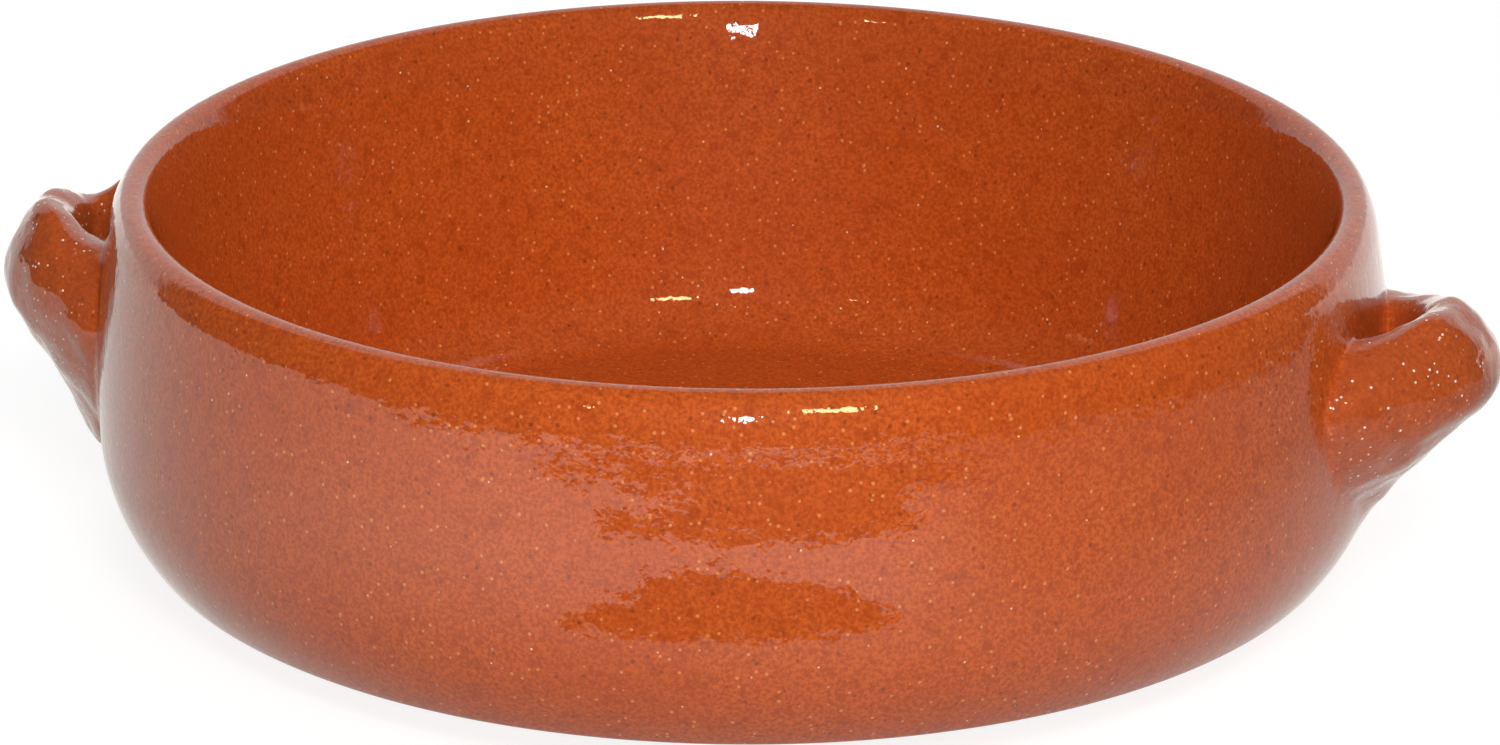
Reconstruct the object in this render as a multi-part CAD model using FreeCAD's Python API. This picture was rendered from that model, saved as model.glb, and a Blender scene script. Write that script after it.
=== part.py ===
import FreeCAD, Part
import math
import os

# Glazed clay oven dish: a thrown round body with two pinched lug handles, fired as one piece.
# Millimetres and degrees. The origin is the centre of the base, +Z is up, and the handles lie along X.

# Thrown body
body_radius = 125.0          # outside, at the widest point
body_height = 75.0           # from the base to the top of the lip
belly_height = 34.5          # height of the widest point
wall_bow_radius = 175.0      # upright curve of the outer wall
lower_corner_radius = 34.0   # outer curve from the wall down towards the base
foot_angle = 38.0            # slope of the surface where the corner ends at the foot
foot_bevel_height = 8.5      # a wide shallow bevel from the foot in to the edge of the flat base
foot_bevel_width = 24.5
shoulder_radius = 13.5       # the wall turns in here, just under the lip
shoulder_angle = 34.0        # slope of the surface where the shoulder becomes the lip
lip_radius = 3.1             # round of the lip in section
floor_thickness = 6.0
inner_corner_radius = 12.0   # between the floor and the wall, inside
inner_wall_lean = 13.5       # the inside of the wall leans out by this much from upright
inner_shoulder_radius = 30.0 # the inside of the wall eases over towards the lip
inner_shoulder_angle = 24.0  # lean of the surface where it becomes the lip

# Pinched lug handles: each is a hollow nest of clay, open upwards, that tapers down into a tail
handle_reach = 22.0          # how far the nose stands out past the widest point of the wall
handle_half_width = 33.0     # at the height of the nose, where the clay is smeared on to the wall
flank_flare = 1.6            # 1 gives an oval nest, and more draws its flanks in before they meet the wall
handle_inset = 5.0           # the rings of the lug are centred this far inside the widest radius
handle_swing = 4.0           # each handle sits this far round towards the front
join_half_angle = 20.0       # the body's stretch behind a handle reaches this far to each side of it
crest_drop = 11.5            # from the top of the lip down to the crest of the handle
nose_drop = 26.0             # from the top of the lip down to the nose
tail_drop = 56.5             # from the top of the lip down to the end of the tail
crest_reach = 16.8           # from the ring centre to the crest
crest_half_width = 19.5
arm_droop = 6.0              # the two arms of the crest fall by this much towards the wall
pocket_reach = 12.0          # from the ring centre to the outer face of the thumb pocket
pocket_half_width = 15.5
pocket_depth = 18.0          # from the crest down to the bottom of the pocket

ring_points = 12             # on the spline of each ring
# Rings from the tail up to the nose, as shares of the rise, the reach and the half width at the nose
underside_rings = ((0.0, 0.10, 0.20), (0.22, 0.29, 0.50), (0.48, 0.55, 0.80), (0.74, 0.82, 0.96))
# Rings from the nose up to the crest, as shares of the rise and of the way inwards
upper_rings = ((0.50, 0.20), (0.86, 0.60))
# Rings down the pocket, as shares of its depth, of its reach and half width, and of the droop
pocket_rings = ((0.10, 1.10, 0.9), (0.42, 0.94, 0.5), (0.80, 0.66, 0.1), (1.0, 0.25, 0.0))


def cosine(angle):
    return math.cos(math.radians(angle))


def sine(angle):
    return math.sin(math.radians(angle))


def on_circle(centre, radius, angle):
    """A point of a circle in the half plane of the profile, given as radius and height."""
    return (centre[0] + radius * cosine(angle), centre[1] + radius * sine(angle))


def in_profile_plane(point):
    """The profile is drawn in the YZ plane, so that its seam lies clear of the handles."""
    return FreeCAD.Vector(0.0, point[0], point[1])


def arc(centre, radius, start_angle, end_angle):
    """One round stretch of the profile."""
    middle_angle = 0.5 * (start_angle + end_angle)
    points = [on_circle(centre, radius, angle) for angle in (start_angle, middle_angle, end_angle)]
    return Part.Arc(*[in_profile_plane(point) for point in points]).toShape()


def line(start, end):
    return Part.LineSegment(in_profile_plane(start), in_profile_plane(end)).toShape()


def turned_about_axis(shape, angle):
    copy = shape.copy()
    copy.rotate(FreeCAD.Vector(0, 0, 0), FreeCAD.Vector(0, 0, 1), angle)
    return copy


def turned(edges, start=0.0, sweep=360.0):
    """The solid made by turning a closed profile about the axis of the dish, from a start angle."""
    face = turned_about_axis(Part.Face(Part.Wire(edges)), start)
    return face.revolve(FreeCAD.Vector(0, 0, 0), FreeCAD.Vector(0, 0, 1), sweep)


def wall_centre():
    """Centre of the upright curve of the outer wall."""
    return (body_radius - wall_bow_radius, belly_height)


def shoulder_start_angle():
    """Slope of the wall where the shoulder starts, so that the lip ends at the full height."""
    rise = body_height - belly_height - shoulder_radius * sine(shoulder_angle)
    rise -= lip_radius * (1.0 - sine(shoulder_angle))
    return math.degrees(math.asin(rise / (wall_bow_radius - shoulder_radius)))


def corner_start_angle():
    """Slope of the wall where the lower corner starts, so that the bevel ends on the base plane."""
    rise = belly_height - lower_corner_radius * sine(foot_angle) - foot_bevel_height
    return -math.degrees(math.asin(rise / (wall_bow_radius - lower_corner_radius)))


def shoulder_centre():
    return on_circle(wall_centre(), wall_bow_radius - shoulder_radius, shoulder_start_angle())


def lip_centre():
    return on_circle(shoulder_centre(), shoulder_radius - lip_radius, shoulder_angle)


def outer_profile():
    """Flat base, bevel, lower corner, bowed wall, shoulder and lip, closed along the axis."""
    corner_angle = corner_start_angle()
    shoulder_start = shoulder_start_angle()
    corner_centre = on_circle(wall_centre(), wall_bow_radius - lower_corner_radius, corner_angle)
    bevel_top = on_circle(corner_centre, lower_corner_radius, -foot_angle)
    base_edge = (bevel_top[0] - foot_bevel_width, 0.0)
    lip_top = on_circle(lip_centre(), lip_radius, 90.0)
    return [
        line((0.0, 0.0), base_edge),
        line(base_edge, bevel_top),
        arc(corner_centre, lower_corner_radius, -foot_angle, corner_angle),
        arc(wall_centre(), wall_bow_radius, corner_angle, shoulder_start),
        arc(shoulder_centre(), shoulder_radius, shoulder_start, shoulder_angle),
        arc(lip_centre(), lip_radius, shoulder_angle, 90.0),
        line(lip_top, (0.0, lip_top[1])),
        line((0.0, lip_top[1]), (0.0, 0.0)),
    ]


def outer_body():
    """The body as full solids, side by side: a short stretch behind each handle and two long ones between."""
    edges = outer_profile()
    # The profile is drawn a quarter turn round from +X.
    right = -handle_swing - 90.0
    left = 180.0 + handle_swing - 90.0
    ends = (right - join_half_angle, right + join_half_angle, left - join_half_angle, left + join_half_angle)
    sweeps = [end - start for start, end in zip(ends, ends[1:])]
    sweeps.append(360.0 - sum(sweeps))
    return [turned(edges, start, sweep) for start, sweep in zip(ends, sweeps)]


def bowl_space():
    """The space inside the bowl: flat floor, corner, leaning wall, and the inner half of the lip."""
    lip = lip_centre()
    shoulder = on_circle(lip, inner_shoulder_radius - lip_radius, -inner_shoulder_angle)
    wall_top = on_circle(shoulder, inner_shoulder_radius, 180.0 - inner_wall_lean)
    # The corner touches the floor and the straight of the wall.
    corner_height = floor_thickness + inner_corner_radius
    wall_foot_height = corner_height - inner_corner_radius * sine(inner_wall_lean)
    wall_run = (wall_top[1] - wall_foot_height) * sine(inner_wall_lean) / cosine(inner_wall_lean)
    wall_foot = (wall_top[0] - wall_run, wall_foot_height)
    corner_centre = (wall_foot[0] - inner_corner_radius * cosine(inner_wall_lean), corner_height)
    lip_top = on_circle(lip, lip_radius, 90.0)
    lip_middle_angle = 0.5 * (180.0 - inner_shoulder_angle + 90.0)
    above = (lip_top[0], lip_top[1] + lip_radius)
    edges = [
        line((0.0, floor_thickness), on_circle(corner_centre, inner_corner_radius, -90.0)),
        arc(corner_centre, inner_corner_radius, -90.0, -inner_wall_lean),
        line(wall_foot, wall_top),
        arc(shoulder, inner_shoulder_radius, 180.0 - inner_wall_lean, 180.0 - inner_shoulder_angle),
        arc(lip, lip_radius, 180.0 - inner_shoulder_angle, lip_middle_angle),
        arc(lip, lip_radius, lip_middle_angle, 90.0),
        line(lip_top, above),
        line(above, (0.0, above[1])),
        line((0.0, above[1]), (0.0, floor_thickness)),
    ]
    return turned(edges)


def ring(height, reach, half_width, droop, flare):
    """One closed oval ring of the lug, centred just inside the wall and started on its inner side."""
    centre = body_radius - handle_inset
    points = []
    for step in range(ring_points):
        angle = 360.0 * step / ring_points
        outwards = -math.copysign(abs(cosine(angle)) ** flare, cosine(angle))
        drop = droop * sine(angle) ** 2
        points.append(FreeCAD.Vector(centre + reach * outwards, -half_width * sine(angle), height - drop))
    # Even parameters let all rings share their knots, which keeps the lofted surface light and smooth.
    curve = Part.BSplineCurve()
    curve.interpolate(Points=points, PeriodicFlag=True, Parameters=list(range(ring_points + 1)))
    return Part.Wire(curve.toShape())


def between(start, end, share):
    return start + (end - start) * share


def lug():
    """One handle along +X: up from the tail, over the nose and the crest, and down the pocket."""
    nose_height = body_height - nose_drop
    tail_height = body_height - tail_drop
    crest_height = body_height - crest_drop
    nose_reach = handle_reach + handle_inset
    rings = []
    for rise, reach, width in underside_rings:
        height = between(tail_height, nose_height, rise)
        rings.append(ring(height, nose_reach * reach, handle_half_width * width, 0.0, flank_flare))
    rings.append(ring(nose_height, nose_reach, handle_half_width, 0.0, flank_flare))
    for rise, inwards in upper_rings:
        height = between(nose_height, crest_height, rise)
        reach = between(nose_reach, crest_reach, inwards)
        half_width = between(handle_half_width, crest_half_width, inwards)
        flare = between(flank_flare, 1.0, inwards)
        rings.append(ring(height, reach, half_width, arm_droop * rise, flare))
    rings.append(ring(crest_height, crest_reach, crest_half_width, arm_droop, 1.0))
    for fall, share, droop in pocket_rings:
        height = crest_height - pocket_depth * fall
        rings.append(ring(height, pocket_reach * share, pocket_half_width * share, arm_droop * droop, 1.0))
    return Part.makeLoft(rings, True, False)


def dish():
    """The whole dish: body and both handles in one piece of clay, then the bowl hollowed out."""
    handle = lug()
    right_handle = turned_about_axis(handle, -handle_swing)
    left_handle = turned_about_axis(handle, 180.0 + handle_swing)
    stretches = outer_body()
    clay = stretches[0].fuse(stretches[1:] + [right_handle, left_handle])
    return clay.cut(bowl_space())


os.makedirs("parts", exist_ok=True)
shape = dish()
solid = shape.Solids[0]
print("solids", len(shape.Solids), "valid", shape.isValid(), "volume", round(shape.Volume))
solid.exportStep("parts/dish.step")
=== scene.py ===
import math

import bmesh
import bpy
import numpy as np
from mathutils import Matrix, Vector, noise
from mathutils.bvhtree import BVHTree


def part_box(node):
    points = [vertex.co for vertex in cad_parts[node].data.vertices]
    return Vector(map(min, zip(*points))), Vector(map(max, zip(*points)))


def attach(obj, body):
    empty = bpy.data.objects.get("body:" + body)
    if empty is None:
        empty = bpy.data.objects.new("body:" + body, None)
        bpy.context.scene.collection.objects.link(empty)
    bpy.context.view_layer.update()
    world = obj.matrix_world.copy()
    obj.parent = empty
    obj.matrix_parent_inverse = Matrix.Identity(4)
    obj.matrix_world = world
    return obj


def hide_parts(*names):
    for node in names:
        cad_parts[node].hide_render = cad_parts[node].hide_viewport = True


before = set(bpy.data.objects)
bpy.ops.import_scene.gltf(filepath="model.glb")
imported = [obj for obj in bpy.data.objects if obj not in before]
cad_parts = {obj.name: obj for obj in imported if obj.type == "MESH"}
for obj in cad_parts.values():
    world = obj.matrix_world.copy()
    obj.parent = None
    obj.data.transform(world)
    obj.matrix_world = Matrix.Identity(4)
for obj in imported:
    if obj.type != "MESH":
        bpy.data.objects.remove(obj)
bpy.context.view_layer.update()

# The photograph's frame, in pixels
image_width = 1500
image_height = 745
focal_pixels = 5144.0
centre_pixel = (742.9, 338.3)

# Its camera, in metres and degrees: it looks at a point on the dish's axis, this far below the lip
aim_drop = 0.03375
camera_distance = 1.0
camera_elevation = 20.2
camera_azimuth = 12.0
camera_roll = 0.22
sensor_millimetres = 36.0

# The dish's own sizes, in metres and degrees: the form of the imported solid
_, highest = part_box("dish")
inside_solid = 0.0001        # the visible surface stays this far within the solid's box
body_height = highest.z
body_radius = highest.y - inside_solid
belly_height = 0.0345
wall_bow_radius = 0.175
lower_corner_radius = 0.034
foot_round_radius = 0.0025
foot_angle = 38.0
foot_bevel_height = 0.0085
foot_bevel_width = 0.0245
shoulder_radius = 0.0135
shoulder_angle = 34.0
lip_radius = 0.0031
floor_thickness = 0.006
inner_corner_radius = 0.012
inner_wall_lean = 13.5
inner_shoulder_radius = 0.030
inner_shoulder_angle = 24.0

# Spacing of the points along the body's section: wide on the flats and close on tight rounds
base_spacing = 0.012
bevel_spacing = 0.004
foot_spacing = 0.0007
corner_spacing = 0.0016
wall_spacing = 0.0011
shoulder_spacing = 0.0009
lip_spacing = 0.0007
inner_shoulder_spacing = 0.0013
inner_wall_spacing = 0.0022
inner_corner_spacing = 0.0014
floor_spacing = 0.004

# Columns of the body, in degrees: closer together where the handles join
joined_half_angle = 19.0
joined_step = 0.42
plain_step = 0.95

# How far the thrown surface lies below its true form
base_band = 0.0003           # the base itself stays flat
relief_depth = 0.00008
mark_depth = 0.000010        # turning marks, long round the dish and short along its section
mark_run = 0.055
mark_spacing = 0.0045
wave_depth = 0.000045        # slow waves
wave_run = 0.04
wave_rise = 0.03
fine_depth = 0.000007        # fine unevenness
fine_run = 0.011
fine_spacing = 0.007

# What the fingers left inside the wall: one soft ring, a step under it, and a wide groove below
ring_height = 0.0533
ring_spacing = 0.0252
ring_depth = 0.0002
ring_foot = 0.047
ring_top = 0.073
ring_foot_run = 0.004
ring_top_run = 0.005
ring_drift = 0.0015          # up and down round the dish
ring_drift_run = 0.07
step_depth = 0.0004
step_run = 0.010
groove_depth = 0.0008
groove_reach = 0.030
groove_foot = 0.008
groove_foot_run = 0.010

# Handles
lump_margin = 0.0003         # room for the lumps on the nose
handle_reach = highest.x - body_radius - lump_margin
handle_half_width = 0.033
flank_flare = 1.6
handle_inset = 0.005
handle_swing = 4.0
crest_drop = 0.0115
nose_drop = 0.026
tail_drop = 0.0565
crest_reach = 0.0168
crest_half_width = 0.0195
arm_droop = 0.006
pocket_reach = 0.012
pocket_half_width = 0.0155
pocket_depth = 0.018
join_depth = 0.0035          # the handles are cut off this far inside the wall

# Lumps that pinching leaves on them, in three sizes
broad_lump = 0.012
broad_lump_height = 0.0007
middle_lump = 0.0055
middle_lump_height = 0.0004
small_lump = 0.0024
small_lump_height = 0.00012

# What pinching did to each handle: its turn about the axis and the start of its noise, how far its
# crest, its two sides and their ends by the wall are lifted, how wide the near half of its pocket is, and
# how far its tail is drawn down and out. The near side is the one towards the front.
pinches = (
    {"turn": -handle_swing, "seed": 0.0, "near_side": -1.0,
     "crest_lift": -0.0006, "near_lift": 0.0030, "far_lift": -0.0012,
     "near_wall_lift": 0.0014, "far_wall_lift": -0.0008, "near_pocket": 0.92,
     "tail_length": 0.0, "tail_gain": 0.0},
    {"turn": 180.0 + handle_swing, "seed": 20.0, "near_side": 1.0,
     "crest_lift": 0.0008, "near_lift": 0.0048, "far_lift": -0.0022,
     "near_wall_lift": -0.0006, "far_wall_lift": 0.0074, "near_pocket": 0.80,
     "tail_length": 0.008, "tail_gain": 0.0036},
)
side_reach = 0.015           # a side is lifted in full this far from the handle's middle
arm_end_reach = 0.013        # the ends by the wall start this far out of the ring centre
arm_end_run = 0.008
tail_run = 0.003

# Rings of a handle, as in the solid: shares of its rise, reach and half width, and down the pocket
ring_points = 12
underside_rings = ((0.0, 0.10, 0.20), (0.22, 0.29, 0.50), (0.48, 0.55, 0.80), (0.74, 0.82, 0.96))
upper_rings = ((0.50, 0.20), (0.86, 0.60))
pocket_rings = ((0.10, 1.10, 0.9), (0.42, 0.94, 0.5), (0.80, 0.66, 0.1), (1.0, 0.25, 0.0))

# Points round a handle's mesh, and its rows from the tail to the bottom of the pocket
handle_columns = 120
handle_rows = 100

# The smeared hollow where a handle meets the wall
smear_reach = 0.0010
smear_unevenness = 0.0006
smear_wave = 0.006
smear_lower_gain = 0.0005    # more of it lower down
smear_gain_height = 0.0535
smear_gain_run = 0.02
smear_rounds = 4
smear_inside = 1.6           # in join depths: what lies further inside the wall is left alone

# Dark patches on the studio floor: how far above it they lie, and how bright they are
card_height = 0.0004
card_brightness = 0.04

# The camera and every lamp are turned towards this point
aim = Vector((0.0, 0.0, body_height - aim_drop))


def cosine(angle):
    return math.cos(math.radians(angle))


def sine(angle):
    return math.sin(math.radians(angle))


def between(start, end, share):
    return start + (end - start) * share


def eased(value):
    """Goes smoothly from 0 to 1 as the value does, and stays there beyond."""
    value = min(max(value, 0.0), 1.0)
    return value * value * (3.0 - 2.0 * value)


def towards(azimuth, elevation):
    """A direction from the dish: azimuth 0 is the front, and it grows towards the right-hand handle."""
    return Vector((
        sine(azimuth) * cosine(elevation),
        -cosine(azimuth) * cosine(elevation),
        sine(elevation),
    ))


# Camera


def make_camera():
    data = bpy.data.cameras.new("camera")
    camera = bpy.data.objects.new("camera", data)
    bpy.context.scene.collection.objects.link(camera)
    data.sensor_width = sensor_millimetres
    data.lens = focal_pixels * sensor_millimetres / image_width
    data.shift_x = (0.5 * image_width - centre_pixel[0]) / image_width
    data.shift_y = (centre_pixel[1] - 0.5 * image_height) / image_width
    data.clip_start = 0.01
    data.clip_end = 100.0
    back = towards(camera_azimuth, camera_elevation)
    camera.location = aim + camera_distance * back
    upright = (-back).to_track_quat("-Z", "Y").to_matrix()
    roll = Matrix.Rotation(math.radians(camera_roll), 3, "Z")
    camera.rotation_euler = (upright @ roll).to_euler()
    bpy.context.scene.camera = camera


# Turned body


def on_circle(centre, radius, angle):
    return (centre[0] + radius * cosine(angle), centre[1] + radius * sine(angle))


def arc_points(centre, radius, start_angle, end_angle, spacing):
    """Points along an arc without its last one, so that stretches can follow each other."""
    length = abs(math.radians(end_angle - start_angle)) * radius
    count = max(2, math.ceil(length / spacing))
    return [on_circle(centre, radius, between(start_angle, end_angle, i / count)) for i in range(count)]


def line_points(start, end, spacing):
    """Points along a line without its last one."""
    count = max(1, math.ceil(math.dist(start, end) / spacing))
    shares = [i / count for i in range(count)]
    return [(between(start[0], end[0], share), between(start[1], end[1], share)) for share in shares]


def foot_round(base_edge, bevel_top, corner):
    """Centre of the small round between the bevel and the corner, and the slopes at its two ends."""
    run = Vector((bevel_top[0] - base_edge[0], bevel_top[1] - base_edge[1])).normalized()
    below = Vector((run.y, -run.x))
    offset = Vector(base_edge) - Vector(corner) - below * foot_round_radius
    along = offset.dot(run)
    reach = lower_corner_radius - foot_round_radius
    from_corner = offset + run * (math.sqrt(along ** 2 - offset.length_squared + reach ** 2) - along)
    bevel_slope = math.degrees(math.atan2(below.y, below.x))
    corner_slope = math.degrees(math.atan2(from_corner.y, from_corner.x))
    return Vector(corner) + from_corner, bevel_slope, corner_slope


def outer_section():
    """Points from the middle of the base up the outside to the lip, and the centre of the lip's round."""
    wall = (body_radius - wall_bow_radius, belly_height)
    rise = body_height - belly_height - shoulder_radius * sine(shoulder_angle)
    rise -= lip_radius * (1.0 - sine(shoulder_angle))
    shoulder_start = math.degrees(math.asin(rise / (wall_bow_radius - shoulder_radius)))
    drop = belly_height - lower_corner_radius * sine(foot_angle) - foot_bevel_height
    corner_start = -math.degrees(math.asin(drop / (wall_bow_radius - lower_corner_radius)))
    shoulder = on_circle(wall, wall_bow_radius - shoulder_radius, shoulder_start)
    lip = on_circle(shoulder, shoulder_radius - lip_radius, shoulder_angle)
    corner = on_circle(wall, wall_bow_radius - lower_corner_radius, corner_start)
    bevel_top = on_circle(corner, lower_corner_radius, -foot_angle)
    base_edge = (bevel_top[0] - foot_bevel_width, 0.0)
    foot, bevel_slope, foot_slope = foot_round(base_edge, bevel_top, corner)
    bevel_end = on_circle(foot, foot_round_radius, bevel_slope)
    points = line_points((0.0, 0.0), base_edge, base_spacing)
    points += line_points(base_edge, bevel_end, bevel_spacing)
    points += arc_points(foot, foot_round_radius, bevel_slope, foot_slope, foot_spacing)
    points += arc_points(corner, lower_corner_radius, foot_slope, corner_start, corner_spacing)
    points += arc_points(wall, wall_bow_radius, corner_start, shoulder_start, wall_spacing)
    points += arc_points(shoulder, shoulder_radius, shoulder_start, shoulder_angle, shoulder_spacing)
    return points, lip


def inner_section(lip):
    """Points over the lip and down the inside to the middle of the floor."""
    lip_end = 180.0 - inner_shoulder_angle
    wall_slope = 180.0 - inner_wall_lean
    shoulder = on_circle(lip, inner_shoulder_radius - lip_radius, -inner_shoulder_angle)
    wall_top = on_circle(shoulder, inner_shoulder_radius, wall_slope)
    corner_height = floor_thickness + inner_corner_radius
    wall_foot_height = corner_height - inner_corner_radius * sine(inner_wall_lean)
    wall_run = (wall_top[1] - wall_foot_height) * sine(inner_wall_lean) / cosine(inner_wall_lean)
    wall_foot = (wall_top[0] - wall_run, wall_foot_height)
    corner = (wall_foot[0] - inner_corner_radius * cosine(inner_wall_lean), corner_height)
    floor_edge = on_circle(corner, inner_corner_radius, -90.0)
    floor_middle = (0.0, floor_thickness)
    points = arc_points(lip, lip_radius, shoulder_angle, lip_end, lip_spacing)
    points += arc_points(shoulder, inner_shoulder_radius, lip_end, wall_slope, inner_shoulder_spacing)
    points += line_points(wall_top, wall_foot, inner_wall_spacing)
    points += arc_points(corner, inner_corner_radius, -inner_wall_lean, -90.0, inner_corner_spacing)
    points += line_points(floor_edge, floor_middle, floor_spacing)
    points.append(floor_middle)
    return points


def profile():
    """Section of the dish as radius and height: out from the middle of the base, up the outside, over
    the lip, and down to the middle of the floor."""
    outside, lip = outer_section()
    return outside + inner_section(lip)


def turned_angles():
    """Angles of the body's columns, closer together where the handles join."""
    angles = []
    angle = 0.0
    while angle < 360.0:
        off_handle = min(abs((angle + handle_swing + 180.0) % 360.0 - 180.0),
                         abs((angle - handle_swing) % 360.0 - 180.0))
        angles.append(angle)
        angle += joined_step if off_handle < joined_half_angle else plain_step
    return angles


def relief(place, along):
    """How far the thrown surface lies below its true form. What is added starts each noise elsewhere."""
    x, y, z = place
    marks = noise.noise(Vector((x / mark_run, y / mark_run, along / mark_spacing)))
    waves = noise.noise(Vector((x / wave_run + 7.0, y / wave_run, z / wave_rise)))
    fine = noise.noise(Vector((x / fine_run, y / fine_run + 3.0, along / fine_spacing)))
    return relief_depth + mark_depth * marks + wave_depth * waves + fine_depth * fine


def throwing_rings(place):
    """How deep the fingers left the inside of the wall."""
    x, y, z = place
    z += ring_drift * noise.noise(Vector((x / ring_drift_run, y / ring_drift_run, 5.0)))
    over_foot = eased((z - ring_foot) / ring_foot_run)
    on_ring = over_foot * eased((ring_top - z) / ring_top_run)
    wave = 1.0 + math.cos(2.0 * math.pi * (z - ring_height) / ring_spacing)
    off_floor = eased((z - floor_thickness) / step_run)
    down = min(max((ring_height - z) / groove_reach, 0.0), 1.0)
    in_groove = down * eased((z - groove_foot) / groove_foot_run)
    step = step_depth * (1.0 - over_foot) * off_floor
    return on_ring * ring_depth * wave + step + groove_depth * in_groove


def stitch(mesh, rows):
    """Faces between closed rows of vertices, the first or last of which may be a single point."""
    for lower, upper in zip(rows, rows[1:]):
        count = max(len(lower), len(upper))
        for j in range(count):
            k = (j + 1) % count
            if len(lower) == 1:
                mesh.faces.new((lower[0], upper[k], upper[j]))
            elif len(upper) == 1:
                mesh.faces.new((lower[j], lower[k], upper[0]))
            else:
                mesh.faces.new((lower[j], lower[k], upper[k], upper[j]))


def body_mesh():
    """The thrown body as one closed mesh in a bmesh."""
    section = profile()
    angles = turned_angles()
    count = len(section)
    inner_start = max(range(count), key=lambda i: section[i][1])
    along = [0.0]
    for i in range(1, count):
        along.append(along[-1] + math.dist(section[i - 1], section[i]))
    mesh = bmesh.new()
    rows = []
    for i, (radius, height) in enumerate(section):
        if i in (0, count - 1):
            rows.append([mesh.verts.new((0.0, 0.0, height))])
            continue
        before = section[i - 1]
        after = section[i + 1]
        slope = Vector((after[0] - before[0], after[1] - before[1])).normalized()
        row = []
        for angle in angles:
            place = (radius * cosine(angle), radius * sine(angle), height)
            sink = 0.0 if height < base_band else relief(place, along[i])
            if i > inner_start:
                sink += throwing_rings(place)
            out = radius - sink * slope.y
            row.append(mesh.verts.new((out * cosine(angle), out * sine(angle), height + sink * slope.x)))
        rows.append(row)
    stitch(mesh, rows)
    bmesh.ops.recalc_face_normals(mesh, faces=mesh.faces)
    return mesh


# Pinched handles


def ring(height, reach, half_width, droop, flare):
    """One closed oval ring of a handle, started on its inner side."""
    points = []
    for step in range(ring_points):
        angle = 360.0 * step / ring_points
        outwards = -math.copysign(abs(cosine(angle)) ** flare, cosine(angle))
        points.append((
            body_radius - handle_inset + reach * outwards,
            -half_width * sine(angle),
            height - droop * sine(angle) ** 2,
        ))
    return points


def handle_rings():
    nose_height = body_height - nose_drop
    tail_height = body_height - tail_drop
    crest_height = body_height - crest_drop
    nose_reach = handle_reach + handle_inset
    rings = []
    for rise, reach, width in underside_rings:
        height = between(tail_height, nose_height, rise)
        rings.append(ring(height, nose_reach * reach, handle_half_width * width, 0.0, flank_flare))
    rings.append(ring(nose_height, nose_reach, handle_half_width, 0.0, flank_flare))
    for rise, inwards in upper_rings:
        rings.append(ring(
            between(nose_height, crest_height, rise),
            between(nose_reach, crest_reach, inwards),
            between(handle_half_width, crest_half_width, inwards),
            arm_droop * rise,
            between(flank_flare, 1.0, inwards),
        ))
    rings.append(ring(crest_height, crest_reach, crest_half_width, arm_droop, 1.0))
    for fall, share, droop in pocket_rings:
        rings.append(ring(
            crest_height - pocket_depth * fall,
            pocket_reach * share,
            pocket_half_width * share,
            arm_droop * droop,
            1.0,
        ))
    return np.array(rings)


def closed_spline(points, count):
    """Points of the smooth closed curve through the given ones, for a stack of curves at once."""
    size = points.shape[1]
    matrix = 4.0 * np.eye(size) + np.roll(np.eye(size), 1, 0) + np.roll(np.eye(size), -1, 0)
    bend = 6.0 * (np.roll(points, 1, 1) - 2.0 * points + np.roll(points, -1, 1))
    second = np.linalg.solve(matrix, bend.transpose(1, 0, 2).reshape(size, -1))
    second = second.reshape(size, points.shape[0], 3).transpose(1, 0, 2)
    place = np.arange(count) * size / count
    low = np.floor(place).astype(int) % size
    high = (low + 1) % size
    t = (place - np.floor(place))[None, :, None]
    s = 1.0 - t
    return (s * points[:, low] + t * points[:, high]
            + ((s ** 3 - s) * second[:, low] + (t ** 3 - t) * second[:, high]) / 6.0)


def open_spline(points, stations, places):
    """Rows of points at the given places along the smooth surface through the rows at the stations."""
    size = len(stations)
    step = np.diff(stations)
    matrix = np.zeros((size, size))
    bend = np.zeros((size,) + points.shape[1:])
    matrix[0, 0] = matrix[-1, -1] = 1.0
    for i in range(1, size - 1):
        matrix[i, i - 1:i + 2] = (step[i - 1], 2.0 * (step[i - 1] + step[i]), step[i])
        slope_after = (points[i + 1] - points[i]) / step[i]
        slope_before = (points[i] - points[i - 1]) / step[i - 1]
        bend[i] = 6.0 * (slope_after - slope_before)
    second = np.linalg.solve(matrix, bend.reshape(size, -1)).reshape(bend.shape)
    rows = []
    for place in places:
        i = min(max(np.searchsorted(stations, place) - 1, 0), size - 2)
        h = step[i]
        t = (place - stations[i]) / h
        s = 1.0 - t
        rows.append(s * points[i] + t * points[i + 1]
                    + ((s ** 3 - s) * second[i] + (t ** 3 - t) * second[i + 1]) * h * h / 6.0)
    return np.array(rows)


def wobble(place, wave, shift):
    """Smooth noise from about -1 to 1, with waves of the given length."""
    x, y, z = place
    return noise.noise(Vector((x / wave + shift[0], y / wave + shift[1], z / wave + shift[2])))


def lumps(place, seed):
    """The uneven surface that pinching leaves: lumps of three sizes."""
    broad = wobble(place, broad_lump, (seed, 0.0, 0.0))
    middle = wobble(place, middle_lump, (0.0, seed, 0.0))
    small = wobble(place, small_lump, (0.0, 0.0, seed))
    return broad_lump_height * broad + middle_lump_height * middle + small_lump_height * small


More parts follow.
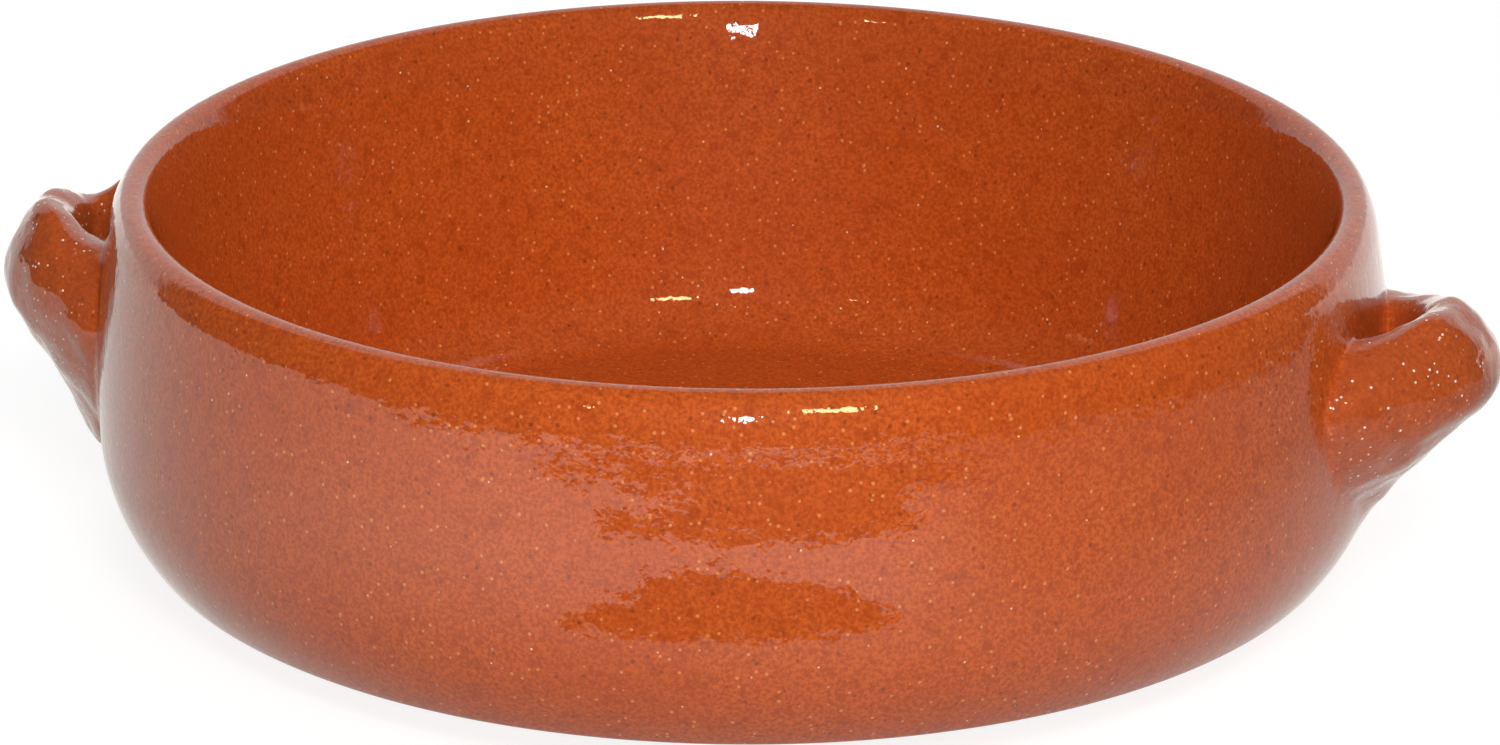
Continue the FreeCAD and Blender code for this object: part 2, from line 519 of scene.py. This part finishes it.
def pinched(place, pinch, in_pocket):
    """A point of the plain handle, moved as pinching left this one."""
    x, y, z = place
    if in_pocket and y * pinch["near_side"] > 0.0:
        y *= pinch["near_pocket"]
    nose_height = body_height - nose_drop
    up = eased((z - nose_height) / (nose_drop - crest_drop))
    down = eased((nose_height - z) / (tail_drop - nose_drop))
    outwards = x - body_radius + handle_inset
    near = eased(y * pinch["near_side"] / side_reach)
    far = eased(-y * pinch["near_side"] / side_reach)
    by_wall = eased((arm_end_reach - outwards) / arm_end_run)
    z += up * (pinch["crest_lift"] + near * pinch["near_lift"] + far * pinch["far_lift"])
    z += up * by_wall * (near * pinch["near_wall_lift"] + far * pinch["far_wall_lift"])
    z -= down * pinch["tail_length"]
    x += down * down * pinch["tail_gain"] * eased(outwards / tail_run)
    return (x, y, z)


def handle_mesh(pinch):
    """One handle as a closed mesh in a bmesh, turned to its place on the body."""
    rings = closed_spline(handle_rings(), handle_columns)
    gaps = np.linalg.norm(np.diff(rings, axis=0), axis=2).mean(1)
    stations = np.concatenate([[0.0], np.cumsum(gaps)])
    places = np.linspace(0.0, stations[-1], handle_rows)
    rows = open_spline(rings, stations, places)
    crest = stations[len(stations) - len(pocket_rings) - 1]
    mesh = bmesh.new()
    vertices = [[mesh.verts.new(pinched(point, pinch, place > crest)) for point in row]
                for place, row in zip(places, rows)]
    stitch(mesh, vertices)
    mesh.faces.new(vertices[0][::-1])
    mesh.faces.new(vertices[-1])
    bmesh.ops.recalc_face_normals(mesh, faces=mesh.faces)
    mesh.normal_update()
    moves = [(vertex, vertex.normal.copy(), lumps(vertex.co, pinch["seed"])) for vertex in mesh.verts]
    for vertex, normal, height in moves:
        vertex.co += normal * height
    place_handle(mesh, pinch["turn"])
    return mesh


def place_handle(mesh, turn):
    """Turns a handle about the axis of the dish and ends its nose where the solid's nose ends."""
    about_axis = Matrix.Rotation(math.radians(turn), 3, "Z")
    bmesh.ops.rotate(mesh, verts=mesh.verts, cent=(0, 0, 0), matrix=about_axis)
    nose = max((vertex.co.x for vertex in mesh.verts), key=abs)
    slack = math.copysign(highest.x - inside_solid, nose) - nose
    for vertex in mesh.verts:
        vertex.co.x += slack


def plug_mesh():
    """What fills the body up to the middle of its wall, for cutting the handles off inside the clay."""
    heights = (0.012, 0.020, 0.030, 0.040, 0.050, 0.060, 0.070)
    column_step = 3
    mesh = bmesh.new()
    rows = []
    for height in heights:
        wall = math.sqrt(wall_bow_radius ** 2 - (height - belly_height) ** 2)
        radius = body_radius - wall_bow_radius + wall - join_depth
        rows.append([mesh.verts.new((radius * cosine(angle), radius * sine(angle), height))
                     for angle in range(0, 360, column_step)])
    stitch(mesh, rows)
    mesh.faces.new(rows[0][::-1])
    mesh.faces.new(rows[-1])
    return mesh


def mesh_object(name, mesh):
    data = bpy.data.meshes.new(name)
    mesh.to_mesh(data)
    item = bpy.data.objects.new(name, data)
    bpy.context.scene.collection.objects.link(item)
    return item


def combine(item, others, operation):
    """The exact union or difference of a mesh object and others, which are then removed."""
    for other in others:
        modifier = item.modifiers.new("combine", "BOOLEAN")
        modifier.operation = operation
        modifier.solver = "EXACT"
        modifier.object = other
    evaluated = item.evaluated_get(bpy.context.evaluated_depsgraph_get())
    data = bpy.data.meshes.new_from_object(evaluated)
    item.modifiers.clear()
    item.data = data
    for other in others:
        bpy.data.objects.remove(other)


def dish_piece():
    """The visible dish: one closed mesh of the body and both handles."""
    body = body_mesh()
    handles = [handle_mesh(pinch) for pinch in pinches]
    piece = mesh_object("glazed_dish", body)
    arms = []
    for number, handle in enumerate(handles):
        arm = mesh_object("handle_%d" % number, handle)
        combine(arm, [mesh_object("plug", plug_mesh())], "DIFFERENCE")
        arms.append(arm)
    combine(piece, arms, "UNION")
    for handle in handles:
        smooth_join(piece, BVHTree.FromBMesh(body), BVHTree.FromBMesh(handle))
    piece.data.shade_smooth()
    return piece


def signed_distance(tree, place, reach=0.012):
    """Distance to a closed mesh within reach, below zero inside it, and the way out of it."""
    touching = 1e-7
    nearest, normal, _, distance = tree.find_nearest(place, reach)
    if nearest is None:
        return None, None
    away = place - nearest
    if distance < touching:
        return 0.0, normal
    side = 1.0 if away.dot(normal) > 0.0 else -1.0
    return side * distance, side * away / distance


def smooth_join(piece, body_tree, handle_tree):
    """Draws a small hollow of smeared clay into the crease between a handle and the wall."""
    outside = body_radius - smear_inside * join_depth
    shortest_way = 0.1
    for vertex in piece.data.vertices:
        if math.hypot(vertex.co.x, vertex.co.y) < outside:
            continue
        for _ in range(smear_rounds):
            place = vertex.co.copy()
            to_handle, handle_way = signed_distance(handle_tree, place)
            if to_handle is None:
                break
            to_body, body_way = signed_distance(body_tree, place)
            if to_body is None:
                break
            uneven = noise.noise(place / smear_wave)
            lower = eased((smear_gain_height - place.z) / smear_gain_run)
            blend = smear_reach + smear_unevenness * uneven + smear_lower_gain * lower
            if abs(to_handle - to_body) >= blend or abs(to_handle) > blend or abs(to_body) > blend:
                break
            share = min(max(0.5 + 0.5 * (to_handle - to_body) / blend, 0.0), 1.0)
            value = between(to_handle, to_body, share) - blend * share * (1.0 - share)
            way = body_way * share + handle_way * (1.0 - share)
            if way.length < shortest_way:
                break
            vertex.co = place - way * (value / way.length_squared)


# Materials


def plain_material(name, colour, roughness):
    material = bpy.data.materials.new(name)
    material.use_nodes = True
    shader = material.node_tree.nodes["Principled BSDF"]
    shader.inputs["Base Color"].default_value = (*colour, 1.0)
    shader.inputs["Roughness"].default_value = roughness
    return material


class Tree:
    """Short calls for adding nodes and links to the tree of a material, world or lamp."""

    def __init__(self, owner):
        self.tree = owner.node_tree
        self.nodes = self.tree.nodes

    def add(self, kind, settings=(), **inputs):
        node = self.nodes.new(kind)
        for name, value in dict(settings).items():
            setattr(node, name, value)
        for name, value in inputs.items():
            self.feed(node, name.replace("_", " "), value)
        return node

    def feed(self, node, name, value):
        socket = node.inputs[int(name) if name.isdigit() else name]
        if isinstance(value, bpy.types.NodeSocket):
            self.tree.links.new(value, socket)
        else:
            socket.default_value = value

    def math(self, operation, first, second=0.0):
        node = self.nodes.new("ShaderNodeMath")
        node.operation = operation
        self.feed(node, "0", first)
        self.feed(node, "1", second)
        return node.outputs[0]

    def stepped(self, value, start, end, low=0.0, high=1.0):
        node = self.nodes.new("ShaderNodeMapRange")
        node.interpolation_type = "SMOOTHSTEP"
        for name, given in (("Value", value), ("From Min", start), ("From Max", end),
                            ("To Min", low), ("To Max", high)):
            self.feed(node, name, given)
        return node.outputs[0]

    def times(self, first, second):
        return self.math("MULTIPLY", first, second)

    def cloud(self, place, scale, detail=2.0, roughness=0.5):
        node = self.add("ShaderNodeTexNoise", Vector=place, Scale=scale, Detail=detail,
                        Roughness=roughness)
        return node.outputs["Fac"]

    def dots(self, place, scale, size, share):
        """Scattered round specks: cells of the given scale, of which a share holds a speck."""
        cells = self.add("ShaderNodeTexVoronoi", Vector=place, Scale=scale)
        near = self.stepped(cells.outputs["Distance"], size, size * 0.6)
        picked = self.add("ShaderNodeSeparateColor", Color=cells.outputs["Color"])
        return self.times(near, self.math("LESS_THAN", picked.outputs[0], share))

    def mixed(self, share, first, second):
        node = self.nodes.new("ShaderNodeMix")
        node.data_type = "RGBA"
        self.feed(node, "0", share)
        self.feed(node, "6", first)
        self.feed(node, "7", second)
        return node.outputs[2]


def rgb(red, green, blue):
    return (red, green, blue, 1.0)


def on_handles(tree, place):
    """1 where the surface stands out of the bowed wall, which is on the handles, and 0 elsewhere."""
    parts = tree.add("ShaderNodeSeparateXYZ", Vector=place)
    across = tree.math("POWER", parts.outputs["X"], 2.0)
    across = tree.math("ADD", across, tree.math("POWER", parts.outputs["Y"], 2.0))
    across = tree.math("SQRT", across)
    above_belly = tree.math("SUBTRACT", parts.outputs["Z"], belly_height)
    wall_bow = tree.math("DIVIDE", tree.math("POWER", above_belly, 2.0), 2.0 * wall_bow_radius)
    outside = tree.math("SUBTRACT", tree.math("ADD", across, wall_bow), body_radius)
    return tree.stepped(outside, 0.0003, 0.0014)


def clay_colour(tree, place, handles):
    """Orange clay with fine grain, slow patches, mottles, dark and pale specks, and mica; the handles
    then get a browner tone, partly painted reflection, and painted glints.
    """
    deep_clay = rgb(0.45, 0.068, 0.009)
    bright_clay = rgb(0.66, 0.125, 0.019)
    patch_clay = rgb(0.47, 0.062, 0.007)
    mottle_clay = rgb(0.36, 0.045, 0.006)
    dark_speck = rgb(0.20, 0.035, 0.008)
    pale_speck = rgb(0.80, 0.30, 0.10)
    mica_speck = rgb(0.92, 0.72, 0.50)
    grain = tree.stepped(tree.cloud(place, scale=1300.0, detail=3.0, roughness=0.65), 0.34, 0.66)
    colour = tree.mixed(grain, deep_clay, bright_clay)
    patches = tree.stepped(tree.cloud(place, scale=38.0, detail=3.0), 0.35, 0.65)
    colour = tree.mixed(tree.times(patches, 0.22), colour, patch_clay)
    mottles = tree.stepped(tree.cloud(place, scale=330.0, detail=2.0, roughness=0.6), 0.54, 0.68)
    colour = tree.mixed(tree.times(mottles, 0.42), colour, mottle_clay)
    dark = tree.dots(place, scale=430.0, size=0.22, share=0.30)
    colour = tree.mixed(tree.times(dark, 0.6), colour, dark_speck)
    pale = tree.dots(place, scale=600.0, size=0.24, share=0.28)
    colour = tree.mixed(tree.times(pale, 0.75), colour, pale_speck)
    mica = tree.dots(place, scale=260.0, size=0.072, share=0.27)
    colour = tree.mixed(tree.times(mica, 0.9), colour, mica_speck)
    return handle_colour(tree, place, handles, colour)


def handle_colour(tree, place, handles, colour):
    """The handles' colour is browner and darker: partly darker pinched clay, partly a painted reflection,
    the pale veil of the glaze mixed into the colour; and clusters of painted glints, small near-white
    highlights.
    """
    # Browner handle tone: partly darker pinched clay, partly a painted reflection, the pale veil of the
    # glaze mixed into the colour.
    handle_clay_and_veil = rgb(0.36, 0.080, 0.028)
    painted_glint = rgb(0.98, 0.88, 0.76)
    colour = tree.mixed(tree.times(handles, 0.35), colour, handle_clay_and_veil)
    # Painted glints: near-white highlight dots put into the colour, in clusters, on the handles only.
    clusters = tree.stepped(tree.cloud(place, scale=130.0, detail=1.0), 0.43, 0.52)
    painted_glints = tree.dots(place, scale=620.0, size=0.19, share=0.85)
    return tree.mixed(tree.times(painted_glints, tree.times(clusters, handles)), colour, painted_glint)


def glaze_skin(tree, place, handles):
    """The unevenness of the glaze's surface: fine peel, slow waves, and the rougher handles."""
    pinched_skin = tree.times(tree.cloud(place, scale=420.0, detail=1.0), handles)
    # Each layer and its depth in metres
    layers = (
        (tree.cloud(place, scale=360.0), 0.00008),
        (tree.cloud(place, scale=170.0), 0.00004),
        (pinched_skin, 0.00014),
    )
    normal = None
    for height, distance in layers:
        bump = tree.add("ShaderNodeBump", Height=height, Distance=distance, Strength=1.0)
        if normal is not None:
            tree.feed(bump, "Normal", normal)
        normal = bump.outputs[0]
    return normal


def glaze_material():
    """Clear gloss over the clay."""
    material = bpy.data.materials.new("clear_glaze_on_clay")
    material.use_nodes = True
    tree = Tree(material)
    shader = tree.nodes["Principled BSDF"]
    place = tree.add("ShaderNodeTexCoord").outputs["Object"]
    handles = on_handles(tree, place)
    tree.feed(shader, "Base Color", clay_colour(tree, place, handles))
    shader.inputs["Roughness"].default_value = 0.45
    shader.inputs["Specular IOR Level"].default_value = 0.08
    shader.inputs["Coat Weight"].default_value = 1.0
    shader.inputs["Coat Roughness"].default_value = 0.018
    shader.inputs["Coat IOR"].default_value = 1.56
    skin = glaze_skin(tree, place, handles)
    tree.feed(shader, "Coat Normal", skin)
    tree.feed(shader, "Normal", skin)
    return material


# Studio


def floor_in_reflections(tree):
    """How bright the floor is in reflections: dim to the right of the dish, and in its shadow. Azimuths
    are off the camera's, in degrees, and distances from the axis of the dish are in metres."""
    place = tree.add("ShaderNodeNewGeometry").outputs["Position"]
    ways = (towards(camera_azimuth + 90.0, 0.0), towards(camera_azimuth, 0.0))
    parts = []
    for way in ways:
        part = tree.add("ShaderNodeVectorMath", {"operation": "DOT_PRODUCT"})
        tree.feed(part, "0", place)
        part.inputs[1].default_value = way
        parts.append(part.outputs["Value"])
    azimuth = tree.math("ARCTAN2", parts[0], parts[1])
    distance = tree.add("ShaderNodeVectorMath", {"operation": "LENGTH"}, Vector=place).outputs["Value"]

    def around(start, end, before, after):
        """Eases from one value to another between two azimuths."""
        return tree.stepped(azimuth, math.radians(start), math.radians(end), before, after)

    right = tree.math("ADD", around(12.0, 42.0, 1.15, 0.30), around(100.0, 125.0, 0.0, 0.68))
    left = tree.math("ADD", around(-25.0, -85.0, 1.0, 0.66), around(-125.0, -150.0, 0.0, 0.34))
    off_front = tree.math("ABSOLUTE", azimuth)
    in_shadow = tree.stepped(off_front, math.radians(20.0), math.radians(75.0), 0.47, 0.70)
    beyond_shadow = tree.stepped(distance, 0.13, 0.27)
    return tree.math("ADD", tree.times(tree.times(right, left), beyond_shadow),
                     tree.times(in_shadow, tree.math("SUBTRACT", 1.0, beyond_shadow)))


def floor_material():
    """White with the dish's shadow to the camera, pale in reflections, and plain paint elsewhere."""
    mirrored_white = rgb(1.25, 1.21, 1.15)
    material = bpy.data.materials.new("studio_floor")
    material.use_nodes = True
    tree = Tree(material)
    paint = tree.nodes["Principled BSDF"]
    paint.inputs["Base Color"].default_value = rgb(0.62, 0.62, 0.62)
    paint.inputs["Roughness"].default_value = 0.9
    paint.inputs["Specular IOR Level"].default_value = 0.0
    ray = tree.add("ShaderNodeLightPath")
    seen = tree.math("MAXIMUM", ray.outputs["Is Camera Ray"], ray.outputs["Is Transmission Ray"])
    glow = tree.add("ShaderNodeEmission", Color=rgb(1.0, 1.0, 1.0), Strength=0.85)
    faint = tree.add("ShaderNodeBsdfDiffuse", Color=rgb(0.3, 0.3, 0.3))
    both = tree.add("ShaderNodeAddShader")
    tree.feed(both, "0", glow.outputs[0])
    tree.feed(both, "1", faint.outputs[0])
    brightness = floor_in_reflections(tree)
    mirrored = tree.add("ShaderNodeEmission", Color=mirrored_white, Strength=brightness)
    mix = tree.add("ShaderNodeMixShader")
    tree.feed(mix, "0", seen)
    tree.feed(mix, "1", paint.outputs[0])
    tree.feed(mix, "2", both.outputs[0])
    last = tree.add("ShaderNodeMixShader")
    tree.feed(last, "0", ray.outputs["Is Glossy Ray"])
    tree.feed(last, "1", mix.outputs[0])
    tree.feed(last, "2", mirrored.outputs[0])
    tree.feed(tree.nodes["Material Output"], "Surface", last.outputs[0])
    return material


def make_floor():
    bpy.ops.mesh.primitive_plane_add(size=80.0)
    floor = bpy.context.object
    floor.name = "floor"
    floor.data.materials.append(floor_material())


def make_card(name, outline):
    """A dark patch on the floor that shows only in reflections. Its outline is given as azimuths off the
    camera's and distances from the axis of the dish."""
    mesh = bmesh.new()
    corners = []
    for azimuth, distance in outline:
        way = towards(camera_azimuth + azimuth, 0.0)
        corners.append(mesh.verts.new(way * distance + Vector((0.0, 0.0, card_height))))
    mesh.faces.new(corners)
    card = mesh_object(name, mesh)
    card.data.materials.append(plain_material(name, (card_brightness,) * 3, 0.9))
    card.visible_camera = False
    card.visible_diffuse = False
    card.visible_transmission = False
    card.visible_shadow = False


def make_cards():
    """The dark room that the front of the dish mirrors: all the far floor, and two patches before it."""
    near_edge = [(-121, 3.0), (-116, 0.95), (-101, 0.83), (-90, 1.3), (-79, 2.0), (-43, 1.8),
                 (-24, 2.5), (-12, 2.7), (8, 5.0), (29, 2.5), (42, 1.6), (57, 1.05), (77, 0.65),
                 (99, 0.45), (106, 0.5), (110, 0.8), (113, 2.0)]
    far_edge = [(azimuth, 38.0) for azimuth in range(113, -122, -18)]
    make_card("dark_surround", near_edge + far_edge)
    make_card("dark_patch", (
        (-33, 0.71), (-29, 1.0), (-16, 1.45), (0, 1.74), (17, 1.7), (30, 1.2), (39, 0.71),
        (24, 0.57), (22, 0.44), (26, 0.4), (24, 0.36), (0, 0.35), (-20, 0.37), (-20, 0.43),
        (-12, 0.46), (-5, 0.54), (-8, 0.63), (-15, 0.65), (-22, 0.73), (-27, 0.66),
    ))
    make_card("dark_near_patch", (
        (-13, 0.265), (0, 0.28), (7, 0.255), (13, 0.24), (19, 0.2), (13, 0.195), (0, 0.19),
        (-10, 0.19), (-22, 0.195), (-16, 0.22), (-12, 0.24),
    ))


def make_world():
    """A studio that is bright behind the dish and dim elsewhere. The bright part starts between two
    cosines of the azimuth off the camera's, and ends between two heights of a direction's unit vector."""
    bright_start = -0.50
    bright_full = -0.62
    top_start = 0.80
    top_end = 0.93
    world = bpy.data.worlds.new("studio")
    world.use_nodes = True
    tree = Tree(world)
    way = tree.add("ShaderNodeTexCoord").outputs["Generated"]
    front = towards(camera_azimuth, 0.0)
    facing = tree.add("ShaderNodeVectorMath", {"operation": "DOT_PRODUCT"})
    tree.feed(facing, "0", way)
    facing.inputs[1].default_value = front
    height = tree.add("ShaderNodeSeparateXYZ", Vector=way).outputs["Z"]
    level = tree.math("SUBTRACT", 1.0, tree.math("POWER", height, 2.0))
    level = tree.math("SQRT", tree.math("MAXIMUM", level, 0.0001))
    level_facing = tree.math("DIVIDE", facing.outputs["Value"], level)
    behind = tree.stepped(level_facing, bright_start, bright_full)
    low = tree.stepped(height, top_end, top_start)
    share = tree.times(behind, low)
    mirrored = tree.mixed(share, rgb(0.045, 0.045, 0.045), rgb(0.8, 0.8, 0.8))
    lighting = tree.mixed(share, rgb(0.03, 0.03, 0.03), rgb(0.14, 0.14, 0.14))
    glossy = tree.add("ShaderNodeLightPath").outputs["Is Glossy Ray"]
    tree.feed(tree.nodes["Background"], "Color", tree.mixed(glossy, lighting, mirrored))
    bpy.context.scene.world = world


def lamp(name, azimuth, elevation, distance, width, height, power, colour, in_gloss=True):
    """A lamp in degrees, metres and watts, turned towards the point that the camera looks at."""
    data = bpy.data.lights.new(name, "AREA")
    data.shape = "RECTANGLE"
    data.size = width
    data.size_y = height
    data.energy = power
    data.color = colour
    item = bpy.data.objects.new(name, data)
    bpy.context.scene.collection.objects.link(item)
    way = towards(azimuth, elevation)
    item.location = aim + distance * way
    item.rotation_euler = way.to_track_quat("Z", "Y").to_euler()
    item.visible_camera = False
    item.visible_glossy = in_gloss
    return item


def once_only(item):
    """Leaves a lamp out of most of what one part of the glaze mirrors of another, at a depth of 2."""
    item.data.use_nodes = True
    tree = Tree(item.data)
    depth = tree.add("ShaderNodeLightPath").outputs["Glossy Depth"]
    tree.feed(tree.nodes["Emission"], "Strength", tree.math("LESS_THAN", depth, 1.5))


def make_lights():
    """A flash at the camera, two warm lamps that show in the glaze, and soft lamps that don't."""
    flash_white = (1.0, 0.98, 0.96)
    warm = (1.0, 0.72, 0.36)
    white = (1.0, 1.0, 1.0)
    ahead = camera_azimuth
    lamp("flash", ahead + 0.3, 20.7, 1.02, 0.018, 0.018, 1.8, flash_white)
    once_only(lamp("flash_frame", ahead + 0.3, 20.7, 1.03, 0.065, 0.10, 0.5, flash_white))
    lamp("warm_tube", ahead + 17.2, 31.0, 6.0, 0.95, 0.55, 41.0, warm)
    lamp("warm_spot", ahead - 27.3, 28.0, 6.0, 0.14, 0.10, 2.0, warm)
    lamp("key", ahead + 5.0, 38.0, 1.5, 0.45, 0.35, 9.1, white, in_gloss=False)
    lamp("soft_top", ahead + 50.0, 68.0, 1.6, 1.6, 1.6, 5.5, white, in_gloss=False)
    lamp("fill_behind", ahead + 180.0, 28.0, 1.6, 1.2, 0.8, 5.5, white, in_gloss=False)


make_camera()
dish = dish_piece()
dish.data.materials.clear()
dish.data.materials.append(glaze_material())
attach(dish, "root")
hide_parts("dish")
make_floor()
make_cards()
make_world()
make_lights()
bpy.context.scene.view_settings.view_transform = "Standard"
